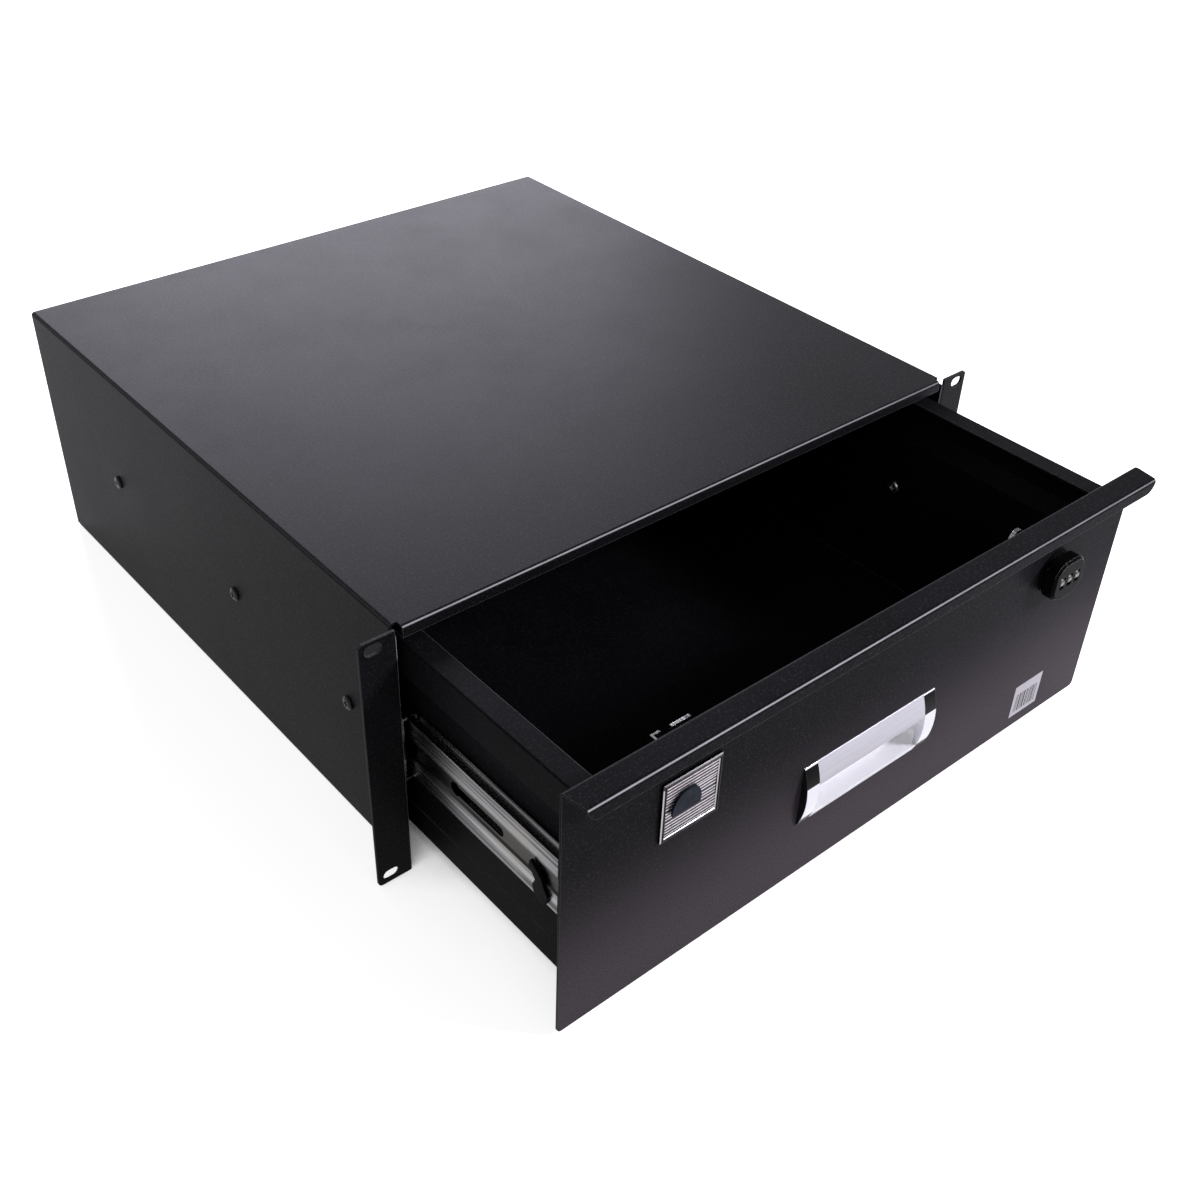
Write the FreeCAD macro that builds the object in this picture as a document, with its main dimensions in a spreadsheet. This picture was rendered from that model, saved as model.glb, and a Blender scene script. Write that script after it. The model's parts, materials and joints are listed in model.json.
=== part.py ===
import FreeCAD, Part
import math
import os
import types

import Sketcher

# Rack drawer, four units high, shown partly open.
# X runs to the right as seen from the front, Y to the back, Z up.
# The origin is midway between the four rack slots, on the rear face of the rack ears.
# Heights in the sheet and in the sketches are taken from the underside of the case.

SIZES = {
    # case
    "case_width": "438",
    "case_height": "176.8",
    "case_depth": "450",
    "case_sheet": "1.5",
    "bend_radius": "2.4",
    "floor_flange": "14",
    "floor_flange_setback": "25",
    "lip_drop": "8.5",
    "lip_return": "6.5",
    "lip_half_width": "214",
    "corner_notch": "4.5",
    "notch_gap": "0.5",
    "back_sheet": "1.2",
    "back_flange": "12",
    "inner_fit": "0.1",
    # rack ears
    "ear_reach": "22.3",
    "ear_corner": "3",
    "ear_slot_from_edge": "8.75",
    "ear_slot_from_end": "5.85",
    "ear_slot_length": "10.3",
    "ear_slot_width": "6.8",
    # telescopic slides
    "slide_height": "45",
    "slide_thickness": "12.7",
    "slide_length": "430",
    "slide_setback": "0.5",
    "slide_level": "91",
    "cabinet_sheet": "1.2",
    "rail_sheet": "1",
    "cabinet_lip_reach": "9.9",
    "cabinet_lip_drop": "3.3",
    "middle_web": "4.4",
    "middle_shoulder": "19.8",
    "middle_flange": "17.2",
    "middle_wall_gap": "0.5",
    "middle_edge": "20.2",
    "middle_recess": "0.8",
    "middle_recess_half": "5.5",
    "inner_flange": "12",
    "inner_edge": "16",
    "inner_lip_reach": "6.4",
    "inner_lip_top": "14.6",
    "ball_gap": "0.1",
    "cage_gap": "0.25",
    "cage_strip": "0.6",
    "cage_length": "200",
    "cage_ball_pitch": "80",
    "slot_length": "42",
    "slot_width": "6.4",
    "slot_end_radius": "4.4",
    "slot_from_front": "66",
    "bumper_thickness": "2",
    "bumper_height": "24",
    "bumper_from_front": "3",
    "bumper_round": "0.9",
    # travel from shut to the stored pose
    "open_travel": "141.2",
    "middle_travel": "128",
    "shut_gap": "0.3",
    # drawer tray
    "tray_sheet": "1.2",
    "tray_depth": "438",
    "tray_floor": "12.4",
    "tray_top": "163.1",
    "tray_bulge": "7.4",
    "tray_rim": "13.8",
    "bulge_start": "130.8",
    "bulge_rise": "10",
    "tray_front_top": "160",
    "groove_level": "32.2",
    "groove_width": "1.2",
    "groove_depth": "0.5",
    "groove_start": "30.4",
    # front panel
    "panel_overlap": "6.5",
    "panel_bottom": "2.8",
    "panel_sheet": "1.5",
    "panel_lip_reach": "16",
    "panel_lip_drop": "8.6",
    "panel_lip_taper": "2.5",
    "panel_lip_corner": "7",
    "panel_corner": "3",
    "panel_screw_from_side": "29",
    "panel_screw_low": "30",
    "panel_screw_high": "150",
    # screws
    "screw_radius": "2",
    "screw_play": "0.1",
    "screw_head_radius": "4.5",
    "screw_head_height": "2.4",
    "screw_head_top": "3.2",
    "side_screw_first": "53",
    "side_screw_second": "182.5",
    "side_screw_third": "343.5",
    "rail_screw_first": "25",
    "rail_screw_pitch": "128",
    # pull handle
    "handle_centre": "1",
    "handle_width": "110",
    "handle_top": "89.8",
    "handle_height": "43.5",
    "handle_bulge": "4.6",
    "handle_edge": "0.6",
    "handle_cap": "10",
    "hood_height": "15.5",
    "hood_wall": "1.6",
    "scoop_depth": "14",
    "scoop_wall": "1.5",
    "scoop_rim": "3.5",
    "scoop_round": "9",
    "scoop_floor_round": "5",
    "cutout_play": "0.3",
    # key lock
    "key_from_side": "76",
    "key_up": "123.8",
    "key_plate_side": "40",
    "key_bezel_rim": "2.6",
    "key_bezel_proud": "2.6",
    "key_plate_thickness": "1.2",
    "key_rib_height": "0.4",
    "key_rib_width": "0.9",
    "key_rib_pitch": "2.1",
    "key_plug_radius": "5.6",
    "keyway_width": "2.2",
    "keyway_height": "7",
    "keyway_depth": "7",
    "key_housing_width": "38",
    "key_housing_above": "16",
    "key_housing_below": "20",
    "key_housing_depth": "14",
    "housing_screw_across": "12.4",
    "housing_screw_below": "14",
    "bracket_from_key": "18.5",
    "bracket_width": "5.9",
    "bracket_depth": "5.2",
    "bracket_sheet": "1.2",
    "bracket_behind": "2.4",
    "bracket_top": "166.8",
    "bolt_width": "12.6",
    "bolt_base_width": "19",
    "bolt_base_height": "17",
    "bolt_thickness": "1.8",
    "bolt_setback": "8.3",
    "bolt_top": "167.3",
    "bolt_play": "0.3",
    "crank_radius": "4.24",
    "crank_pin_radius": "1.2",
    "cover_left": "14",
    "cover_right": "5.2",
    "cover_top": "8.8",
    "cover_bottom": "3.6",
    "cover_thickness": "1.2",
    "cover_pivot_radius": "1.1",
    "cover_pivot_up": "7.7",
    # combination lock
    "combo_from_side": "61.5",
    "combo_up": "129.3",
    "combo_flange_radius": "14.5",
    "combo_flange": "2",
    "combo_collar_radius": "12.6",
    "combo_collar": "1.6",
    "combo_barrel_radius": "9.5",
    "combo_barrel_length": "12",
    "combo_spindle_radius": "4.5",
    "running_play": "0.1",
    "knob_gap": "0.3",
    "knob_width": "30",
    "knob_height": "28",
    "knob_depth": "8.5",
    "knob_round": "11",
    "knob_face_round": "1.6",
    "dial_pitch": "7.3",
    "dial_radius": "4",
    "dial_width": "4.2",
    "dial_proud": "0.4",
    "dial_play": "0.2",
    "dial_pin_radius": "0.8",
    "nut_across_flats": "24",
    "nut_thickness": "4.5",
    "cam_length": "45",
    "cam_width": "12",
    "cam_thickness": "2.5",
    "cam_gap": "0.4",
    "cam_square": "6",
    "cam_screw_radius": "1.5",
    "cam_screw_length": "8",
    "cam_rest_angle": "45",
    # paper label
    "label_from_side": "52.5",
    "label_up": "24.8",
    "label_width": "28.5",
    "label_height": "26",
    "label_thickness": "0.2",
}


class Size:
    """A length that carries its number and the sheet formula behind it."""

    def __init__(self, number, text):
        self.number = number
        self.text = text

    def _with(self, other, sign, number, flip=False):
        left, right = (formula(other), self.text) if flip else (self.text, formula(other))
        return Size(number, "(%s %s %s)" % (left, sign, right))

    def __add__(self, other):
        return self._with(other, "+", self.number + plain(other))

    def __radd__(self, other):
        return self._with(other, "+", plain(other) + self.number, True)

    def __sub__(self, other):
        return self._with(other, "-", self.number - plain(other))

    def __rsub__(self, other):
        return self._with(other, "-", plain(other) - self.number, True)

    def __mul__(self, other):
        return self._with(other, "*", self.number * plain(other))

    def __rmul__(self, other):
        return self._with(other, "*", plain(other) * self.number, True)

    def __truediv__(self, other):
        return self._with(other, "/", self.number / plain(other))

    def __neg__(self):
        return self._with(-1, "*", -self.number)


def plain(value):
    return value.number if isinstance(value, Size) else float(value)


def formula(value):
    return value.text if isinstance(value, Size) else repr(float(value))


doc = FreeCAD.newDocument("rack_drawer")
sheet = doc.addObject("Spreadsheet::Sheet", "sizes")
named = {}
for row, (alias, text) in enumerate(SIZES.items(), 1):
    sheet.set("A%d" % row, alias)
    sheet.set("B%d" % row, text)
    sheet.setAlias("B%d" % row, alias)
    named[alias] = Size(float(text), "sizes." + alias)
doc.recompute()
z = types.SimpleNamespace(**named)

NODES = []
NEAR = 0.01
ACROSS = {"X": "yz", "Y": "xz", "Z": "xy"}


def facing(role):
    """Which way the plane's own normal points along its axis."""
    return -1 if role == "XZ_Plane" else 1


def bind(thing, name, value):
    thing.setExpression(name, formula(value))


def new_body(label):
    body = doc.addObject("PartDesign::Body", label)
    body.Label = label
    body.AllowCompound = True
    bind(body, "Placement.Base.z", -z.case_height / 2)
    NODES.append(body)
    return body


def new_sketch(body, role, level, shapes):
    plane = [item for item in body.Origin.OriginFeatures if item.Role == role][0]
    sketch = body.newObject("Sketcher::SketchObject", body.Name + "_sketch")
    sketch.AttachmentSupport = [(plane, "")]
    sketch.MapMode = "FlatFace"
    bind(sketch, "AttachmentOffset.Base.z", level * facing(role))
    for shape in shapes:
        shape(sketch)
    sketch.Visibility = False
    return sketch


def pin(sketch, kind, element, point, value):
    index = sketch.addConstraint(Sketcher.Constraint(kind, -1, 1, element, point, plain(value)))
    bind(sketch, "Constraints[%d]" % index, value)


def bowed(start, end, radius):
    """A round edge between two spots that turns to the left on its way."""
    along = end - start
    aside = FreeCAD.Vector(-along.y, along.x, 0).normalize()
    centre = (start + end) / 2 + aside * math.sqrt(radius ** 2 - (along.Length / 2) ** 2)
    first = math.atan2(start.y - centre.y, start.x - centre.x)
    last = math.atan2(end.y - centre.y, end.x - centre.x)
    return Part.ArcOfCircle(Part.Circle(centre, FreeCAD.Vector(0, 0, 1), radius), first, last)


def outline(corners):
    """A closed outline; a third value on a corner is the radius of the edge after it."""

    def draw(sketch):
        first = sketch.GeometryCount
        spots = [FreeCAD.Vector(plain(corner[0]), plain(corner[1]), 0) for corner in corners]
        following = spots[1:] + spots[:1]
        edges = []
        ends = []
        for corner, start, end in zip(corners, spots, following):
            turn = plain(corner[2]) if len(corner) > 2 else 0
            if turn == 0:
                edges.append(Part.LineSegment(start, end))
            elif turn > 0:
                edges.append(bowed(start, end, turn))
            else:
                edges.append(bowed(end, start, -turn))
            ends.append((1, 2) if turn >= 0 else (2, 1))
        sketch.addGeometry(edges, False)
        for index, corner in enumerate(corners):
            after = (index + 1) % len(corners)
            sketch.addConstraint(Sketcher.Constraint(
                "Coincident", first + index, ends[index][1], first + after, ends[after][0]))
            pin(sketch, "DistanceX", first + index, ends[index][0], corner[0])
            pin(sketch, "DistanceY", first + index, ends[index][0], corner[1])
            if len(corner) > 2:
                radius = corner[2] if plain(corner[2]) > 0 else -corner[2]
                place = sketch.addConstraint(Sketcher.Constraint("Radius", first + index, plain(radius)))
                bind(sketch, "Constraints[%d]" % place, radius)

    return draw


def box(low_a, high_a, low_b, high_b):
    return outline([(low_a, low_b), (high_a, low_b), (high_a, high_b), (low_a, high_b)])


def round_box(low_a, high_a, low_b, high_b, radius):
    return outline([
        (low_a + radius, low_b), (high_a - radius, low_b, radius),
        (high_a, low_b + radius), (high_a, high_b - radius, radius),
        (high_a - radius, high_b), (low_a + radius, high_b, radius),
        (low_a, high_b - radius), (low_a, low_b + radius, radius)])


def mirrored(half):
    """An outline that repeats the half on the other side of the vertical axis."""
    return outline(half + [(-a, b) for a, b in reversed(half)])


def disc(across, up, radius):
    def draw(sketch):
        centre = FreeCAD.Vector(plain(across), plain(up), 0)
        element = sketch.addGeometry(Part.Circle(centre, FreeCAD.Vector(0, 0, 1), plain(radius)), False)
        pin(sketch, "DistanceX", element, 3, across)
        pin(sketch, "DistanceY", element, 3, up)
        index = sketch.addConstraint(Sketcher.Constraint("Radius", element, plain(radius)))
        bind(sketch, "Constraints[%d]" % index, radius)

    return draw


def obround(across, up, half_length, radius):
    """A slot that lies along the first axis, with round ends."""

    def draw(sketch):
        left = FreeCAD.Vector(plain(across - half_length), plain(up), 0)
        right = FreeCAD.Vector(plain(across + half_length), plain(up), 0)
        lift = FreeCAD.Vector(0, plain(radius), 0)
        normal = FreeCAD.Vector(0, 0, 1)
        quarter = math.pi / 2
        first = sketch.addGeometry([
            Part.ArcOfCircle(Part.Circle(left, normal, plain(radius)), quarter, 3 * quarter),
            Part.LineSegment(left - lift, right - lift),
            Part.ArcOfCircle(Part.Circle(right, normal, plain(radius)), -quarter, quarter),
            Part.LineSegment(right + lift, left + lift),
        ], False)[0]
        sketch.addConstraint([
            Sketcher.Constraint("Tangent", first, 2, first + 1, 1),
            Sketcher.Constraint("Tangent", first + 1, 2, first + 2, 1),
            Sketcher.Constraint("Tangent", first + 2, 2, first + 3, 1),
            Sketcher.Constraint("Tangent", first + 3, 2, first, 1),
            Sketcher.Constraint("Equal", first, first + 2),
        ])
        index = sketch.addConstraint(Sketcher.Constraint("Radius", first, plain(radius)))
        bind(sketch, "Constraints[%d]" % index, radius)
        pin(sketch, "DistanceX", first, 3, across - half_length)
        pin(sketch, "DistanceY", first, 3, up)
        pin(sketch, "DistanceX", first + 2, 3, across + half_length)

    return draw


def pad(body, role, level, length, shapes):
    """Adds material from the level along the plane's own normal."""
    feature = body.newObject("PartDesign::Pad", body.Name + "_pad")
    feature.Profile = new_sketch(body, role, level, shapes)
    bind(feature, "Length", length)
    return feature


def pocket(body, role, level, shapes, depth=None):
    """Cuts from the level against the plane's own normal, right through where no depth is given."""
    feature = body.newObject("PartDesign::Pocket", body.Name + "_pocket")
    feature.Profile = new_sketch(body, role, level, shapes)
    if depth is None:
        feature.Type = "ThroughAll"
    else:
        bind(feature, "Length", depth)
    return feature


def straight_edges(shape, axis, places):
    """Names of the edges that run along the axis through one of the places."""
    first, second = ACROSS[axis]
    names = []
    for index, edge in enumerate(shape.Edges, 1):
        ends = [vertex.Point for vertex in edge.Vertexes]
        for place in places:
            near_first = all(abs(getattr(end, first) - plain(place[0])) < NEAR for end in ends)
            near_second = all(abs(getattr(end, second) - plain(place[1])) < NEAR for end in ends)
            if len(ends) == 2 and near_first and near_second:
                names.append("Edge%d" % index)
    return names


def face_edges(shape, axis, level):
    """Names of the edges that lie wholly in one flat plane across the axis."""
    low = axis + "Min"
    high = axis + "Max"
    names = []
    for index, edge in enumerate(shape.Edges, 1):
        reach = edge.BoundBox
        if abs(getattr(reach, low) - plain(level)) < NEAR and abs(getattr(reach, high) - plain(level)) < NEAR:
            names.append("Edge%d" % index)
    return names


def dress(body, kind, amount, choose):
    """Rounds or bevels the edges that the choice names on the body as it stands."""
    doc.recompute()
    base = body.Tip
    names = choose(base.Shape)
    if not names:
        raise ValueError("no edge to soften on " + body.Label)
    feature = body.newObject("PartDesign::" + kind, body.Name + "_" + kind.lower())
    feature.Base = (base, names)
    bind(feature, "Radius" if kind == "Fillet" else "Size", amount)
    doc.recompute()
    if not feature.Shape.isValid():
        raise ValueError("edges failed on " + body.Label)


def soften(body, kind, amount, axis, places):
    """Rounds or bevels the edges that run along the axis through the places."""
    dress(body, kind, amount, lambda shape: straight_edges(shape, axis, places))


def soften_face(body, kind, amount, axis, level):
    """Rounds or bevels every edge of the flat face at the level."""
    dress(body, kind, amount, lambda shape: face_edges(shape, axis, level))


def beside(role, level, toward, length):
    """Level from which a pad fills the length on the given side of the level."""
    return level if toward == facing(role) else level + toward * length


def pad_beside(body, role, level, toward, length, shapes):
    """Adds material to one side of the level, toward higher or lower coordinates."""
    return pad(body, role, beside(role, level, toward, length), length, shapes)


def cut_beside(body, role, level, toward, depth, shapes):
    """Cuts to one side of the level, toward higher or lower coordinates."""
    start = level if toward != facing(role) else level + toward * depth
    return pocket(body, role, start, shapes, depth)


# Levels that several pieces share
half_case = z.case_width / 2
inner_half = half_case - z.case_sheet
key_across = z.key_from_side - half_case
combo_across = half_case - z.combo_from_side
label_across = half_case - z.label_from_side
ear_front = -z.case_sheet
case_rear = z.case_depth - z.case_sheet
roof = z.case_height
inner_bend = z.bend_radius - z.case_sheet
panel_rear = ear_front - z.shut_gap - z.open_travel
panel_face = panel_rear - z.panel_sheet
tray_half = inner_half - z.slide_thickness
tray_front_rear = panel_rear + z.tray_sheet
rail_rest = z.slide_setback + z.slide_length - z.open_travel
middle_rest = z.slide_setback + z.slide_length - z.middle_travel
tray_inner = tray_half - z.tray_sheet


def side_screws():
    """Places along the case of the screws through its sides."""
    return [z.side_screw_first, z.side_screw_second, z.side_screw_third]


def case_shell():
    """Top, sides, ears and folded lips of one bent sheet."""
    body = new_body("case_shell")
    under_roof = roof - z.case_sheet
    flange_end = half_case - z.floor_flange
    wrap = [(-flange_end, 0), (-half_case, 0), (-half_case, roof)]
    lining = [(inner_half, z.case_sheet), (inner_half, under_roof)]
    pad(body, "XZ_Plane", case_rear, z.case_depth, [outline(
        wrap + [(-a, b) for a, b in reversed(wrap)]
        + [(flange_end, z.case_sheet)] + lining
        + [(-a, b) for a, b in reversed(lining)] + [(-flange_end, z.case_sheet)])])
    soften(body, "Fillet", z.bend_radius, "Y",
           [(-half_case, roof), (half_case, roof), (-half_case, 0), (half_case, 0)])
    soften(body, "Fillet", inner_bend, "Y", [(-inner_half, under_roof), (inner_half, under_roof)])
    pocket(body, "XY_Plane", z.case_sheet,
           [box(-inner_half, inner_half, ear_front, z.floor_flange_setback)], z.case_sheet)
    lip_low = roof - z.lip_drop
    lip = [(ear_front, roof), (ear_front, lip_low), (z.lip_return, lip_low),
           (z.lip_return, lip_low + z.case_sheet), (0, lip_low + z.case_sheet), (0, under_roof)]
    pad(body, "YZ_Plane", -z.lip_half_width, 2 * z.lip_half_width,
        [outline(lip + [(z.lip_return, under_roof), (z.lip_return, roof)])])
    notch_low = roof - z.corner_notch
    for side in (-1, 1):
        pocket(body, "XY_Plane", roof + z.notch_gap,
               [outline([(side * z.lip_half_width, ear_front - z.notch_gap),
                         (side * (half_case + z.notch_gap), ear_front - z.notch_gap),
                         (side * (half_case + z.notch_gap), z.corner_notch),
                         (side * z.lip_half_width, z.corner_notch)])],
               z.corner_notch + z.notch_gap)
    soften(body, "Fillet", z.bend_radius, "X", [(ear_front, roof), (ear_front, lip_low)])
    ear_edge = half_case + z.ear_reach
    for side in (-1, 1):
        pad(body, "XZ_Plane", 0, z.case_sheet, [outline([
            (side * inner_half, 0), (side * ear_edge, 0), (side * ear_edge, roof),
            (side * half_case, roof), (side * half_case, notch_low),
            (side * inner_half, notch_low)])])
    soften(body, "Fillet", z.ear_corner, "Y",
           [(-ear_edge, 0), (ear_edge, 0), (-ear_edge, roof), (ear_edge, roof)])
    soften(body, "Fillet", z.bend_radius, "Z", [(-inner_half, ear_front), (inner_half, ear_front)])
    slot_radius = z.ear_slot_width / 2
    slot_run = (z.ear_slot_length - z.ear_slot_width) / 2
    slot_across = ear_edge - z.ear_slot_from_edge
    pocket(body, "XZ_Plane", ear_front, [
        obround(side * slot_across, level, slot_run, slot_radius)
        for side in (-1, 1) for level in (z.ear_slot_from_end, roof - z.ear_slot_from_end)])
    pocket(body, "YZ_Plane", half_case, [
        disc(place, z.slide_level, z.screw_radius + z.screw_play) for place in side_screws()])


def case_back():
    """Rear panel with flanges turned forward against the inside of the case."""
    body = new_body("case_back")
    half = inner_half - z.inner_fit
    low = z.case_sheet + z.inner_fit
    high = roof - z.case_sheet - z.inner_fit
    lip = z.back_sheet
    pad(body, "XZ_Plane", case_rear, z.back_sheet, [box(-half, half, low, high)])
    pad(body, "XZ_Plane", case_rear, z.back_flange, [
        box(-half, half, low, high),
        box(-half + lip, half - lip, low + lip, high - lip)])
    soften(body, "Fillet", z.bend_radius, "Y", [(-half, low), (half, low), (-half, high), (half, high)])


def slide_section(side, depths):
    """Corners of a slide section as (depth from the case wall, height above the slide's middle)."""
    return outline([(side * (inner_half - depth), z.slide_level + rise) for depth, rise in depths])


def both_ways(upper):
    """The upper half of a section, then its mirror image below the slide's middle."""
    return upper + [(depth, -rise) for depth, rise in reversed(upper)]


def slide_cabinet(name, side):
    """Outer member: a channel with lips that hold the outer balls."""
    body = new_body("slide_%s_cabinet" % name)
    high = z.slide_height / 2
    wall = z.cabinet_sheet
    reach = z.cabinet_lip_reach
    lip_low = high - z.cabinet_lip_drop
    upper = [(0, high), (reach, high), (reach, lip_low), (reach - wall, lip_low),
             (reach - wall, high - wall), (wall, high - wall)]
    lower = [(depth, -rise) for depth, rise in reversed(upper)]
    pad(body, "XZ_Plane", z.slide_setback + z.slide_length, z.slide_length,
        [slide_section(side, upper + lower)])
    soften(body, "Fillet", wall, "Y", [
        (side * (inner_half - depth), z.slide_level + way * high) for depth in (0, reach) for way in (-1, 1)])
    cut_beside(body, "YZ_Plane", side * inner_half, -side, wall, [
        disc(place, z.slide_level, z.screw_radius + z.screw_play) for place in side_screws()])


def slide_middle(name, side):
    """Middle member: a web beside the case, raceways above and below, and edges beside the drawer."""
    body = new_body("slide_%s_middle" % name)
    wall = z.rail_sheet
    web = z.middle_web
    far = z.slide_thickness - z.middle_wall_gap
    flange = z.middle_flange
    dip = z.middle_recess
    half_dip = z.middle_recess_half
    outside = [(web + dip, half_dip), (web, half_dip + dip), (web, z.middle_shoulder)]
    raceway = [(web + wall, z.middle_shoulder), (web + wall, flange + wall), (far - wall, flange + wall),
               (far - wall, z.middle_edge), (far, z.middle_edge), (far, flange)]
    inside = [(web + wall, flange), (web + wall, half_dip + dip), (web + wall + dip, half_dip)]
    upper = outside + raceway + inside
    pad(body, "XZ_Plane", middle_rest, z.slide_length, [slide_section(side, both_ways(upper))])
    front = middle_rest - z.slide_length
    slot_middle = front + z.slot_from_front
    cut_beside(body, "YZ_Plane", side * (inner_half - web), -side, wall + dip, [
        obround(slot_middle, z.slide_level, (z.slot_length - z.slot_width) / 2, z.slot_width / 2)])
    cut_beside(body, "YZ_Plane", side * (inner_half - web), -side, wall + dip, [
        disc(slot_middle + z.slot_length / 2, z.slide_level, z.slot_end_radius)])


def slide_drawer(name, side):
    """Inner member: a channel screwed to the side of the tray."""
    body = new_body("slide_%s_drawer" % name)
    wall = z.rail_sheet
    back = z.slide_thickness
    flange = z.inner_flange
    lip = z.inner_lip_reach
    upper = [(back, z.inner_edge), (back - wall, z.inner_edge), (back - wall, flange + wall),
             (lip + wall, flange + wall), (lip + wall, z.inner_lip_top), (lip, z.inner_lip_top),
             (lip, flange), (back - wall, flange)]
    pad(body, "XZ_Plane", rail_rest, z.slide_length, [slide_section(side, both_ways(upper))])
    cut_beside(body, "YZ_Plane", side * tray_half, side, wall, [
        disc(place, z.slide_level, z.screw_radius + z.screw_play) for place in rail_screws()])


def rail_screws():
    """Places along the drawer of the screws through its slide members."""
    first = rail_rest - z.slide_length + z.rail_screw_first
    return [first + z.rail_screw_pitch * count for count in range(3)]


def ball_cage(label, side, depth, rise, ball_radius, half_strip, middle):
    """Two strips, one above and one below, each with its row of balls."""
    cage = []
    across = side * (inner_half - depth)
    for way in (-1, 1):
        level = z.slide_level + way * rise
        strip = doc.addObject("Part::Box", label + "_strip")
        bind(strip, "Length", 2 * half_strip)
        bind(strip, "Width", z.cage_length)
        bind(strip, "Height", z.cage_strip)
        bind(strip, "Placement.Base.x", across - half_strip)
        bind(strip, "Placement.Base.y", middle - z.cage_length / 2)
        bind(strip, "Placement.Base.z", level - z.cage_strip / 2)
        cage.append(strip)
        for end in (-1, 1):
            ball = doc.addObject("Part::Sphere", label + "_ball")
            bind(ball, "Radius", ball_radius)
            bind(ball, "Placement.Base.x", across)
            bind(ball, "Placement.Base.y", middle + end * z.cage_ball_pitch)
            bind(ball, "Placement.Base.z", level)
            cage.append(ball)
    joined = doc.addObject("Part::MultiFuse", label)
    joined.Shapes = cage
    joined.Label = label
    bind(joined, "Placement.Base.z", -z.case_height / 2)
    NODES.append(joined)


def slide_balls(name, side):
    """Ball cages of the outer and inner raceways at half of each stage's travel."""
    race_low = z.middle_flange + z.rail_sheet
    race_high = z.slide_height / 2 - z.cabinet_sheet
    radius = (race_high - race_low) / 2 - z.ball_gap
    race_in = z.middle_web + z.rail_sheet
    race_out = z.cabinet_lip_reach - z.cabinet_sheet
    case_middle = z.slide_setback + z.slide_length / 2
    ball_cage("slide_%s_outer_balls" % name, side, (race_in + race_out) / 2, (race_low + race_high) / 2,
              radius, (race_out - race_in) / 2 - z.cage_gap, case_middle - z.middle_travel / 2)
    low = z.inner_flange + z.rail_sheet
    near = z.inner_lip_reach + z.rail_sheet
    far = z.slide_thickness - z.rail_sheet
    middle_centre = case_middle - z.middle_travel
    ball_cage("slide_%s_inner_balls" % name, side, (near + far) / 2, (low + z.middle_flange) / 2,
              (z.middle_flange - low) / 2 - z.ball_gap, (far - near) / 2 - z.cage_gap,
              middle_centre - (z.open_travel - z.middle_travel) / 2)


def slide_bumper(name, side):
    """Wavy plastic catch on the outside of the middle member, near its front end."""
    body = new_body("slide_%s_bumper" % name)
    start = middle_rest - z.slide_length + z.bumper_from_front
    low = z.slide_level - z.middle_shoulder + z.rail_sheet
    unit = z.bumper_height / 10
    shape = [(start + unit * 2, low), (start + unit * 3.4, low), (start + unit * 5.6, low + unit * 1.2),
             (start + unit * 6.2, low + unit * 3), (start + unit * 5.2, low + unit * 5.2),
             (start + unit * 7.4, low + unit * 8), (start + unit * 7, low + unit * 10),
             (start + unit * 5.6, low + unit * 9), (start + unit * 3.2, low + unit * 7),
             (start + unit * 2.4, low + unit * 5), (start + unit * 1, low + unit * 3)]
    pad_beside(body, "YZ_Plane", side * (inner_half - z.middle_web), side, z.bumper_thickness,
               [outline(shape)])
    soften(body, "Fillet", z.bumper_round, "X", shape[2:])


def pan_screws(label, role, level, outward, length, places, radius):
    """A row of pan head screws with their heads on the outward side of the level."""
    body = new_body(label)
    pad_beside(body, role, level, -outward, length, [disc(a, b, radius) for a, b in places])
    from_seat = outward == facing(role)
    start = z.screw_head_radius if from_seat else z.screw_head_top
    finish = z.screw_head_top if from_seat else z.screw_head_radius
    slope = (finish - start) / z.screw_head_height
    for a, b in places:
        head = pad_beside(body, role, level, outward, z.screw_head_height, [disc(a, b, start)])
        head.setExpression("TaperAngle", "atan(%s)" % formula(slope))


def drawer_tray():
    """Tray floor with bulged sides and rims turned inward, one bent sheet."""
    body = new_body("drawer_tray")
    wall = z.tray_sheet
    wide = tray_half + z.tray_bulge
    rim = wide - z.tray_rim
    rear = panel_rear + z.tray_depth
    bulge_end = z.bulge_start + z.bulge_rise
    outer = [(-tray_half, z.tray_floor), (-tray_half, z.bulge_start), (-wide, bulge_end), (-wide, z.tray_top)]
    inner = [(-rim, z.tray_top), (-rim, z.tray_top - wall), (wall - wide, z.tray_top - wall),
             (wall - wide, bulge_end), (wall - tray_half, z.bulge_start),
             (wall - tray_half, z.tray_floor + wall)]
    pad(body, "XZ_Plane", rear, z.tray_depth, [mirrored(outer + inner)])
    soften(body, "Fillet", z.bend_radius, "Y", [(-tray_half, z.tray_floor), (tray_half, z.tray_floor)])
    soften(body, "Fillet", z.tray_sheet, "Y", [(-wide, z.tray_top), (wide, z.tray_top)])
    for side in (-1, 1):
        cut_beside(body, "YZ_Plane", side * tray_half, -side, wall, [
            disc(place, z.slide_level, z.screw_radius + z.screw_play) for place in rail_screws()])
        cut_beside(body, "YZ_Plane", side * tray_half, -side, z.groove_depth, [
            box(panel_rear + z.groove_start, rear, z.groove_level, z.groove_level + z.groove_width)])


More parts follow.
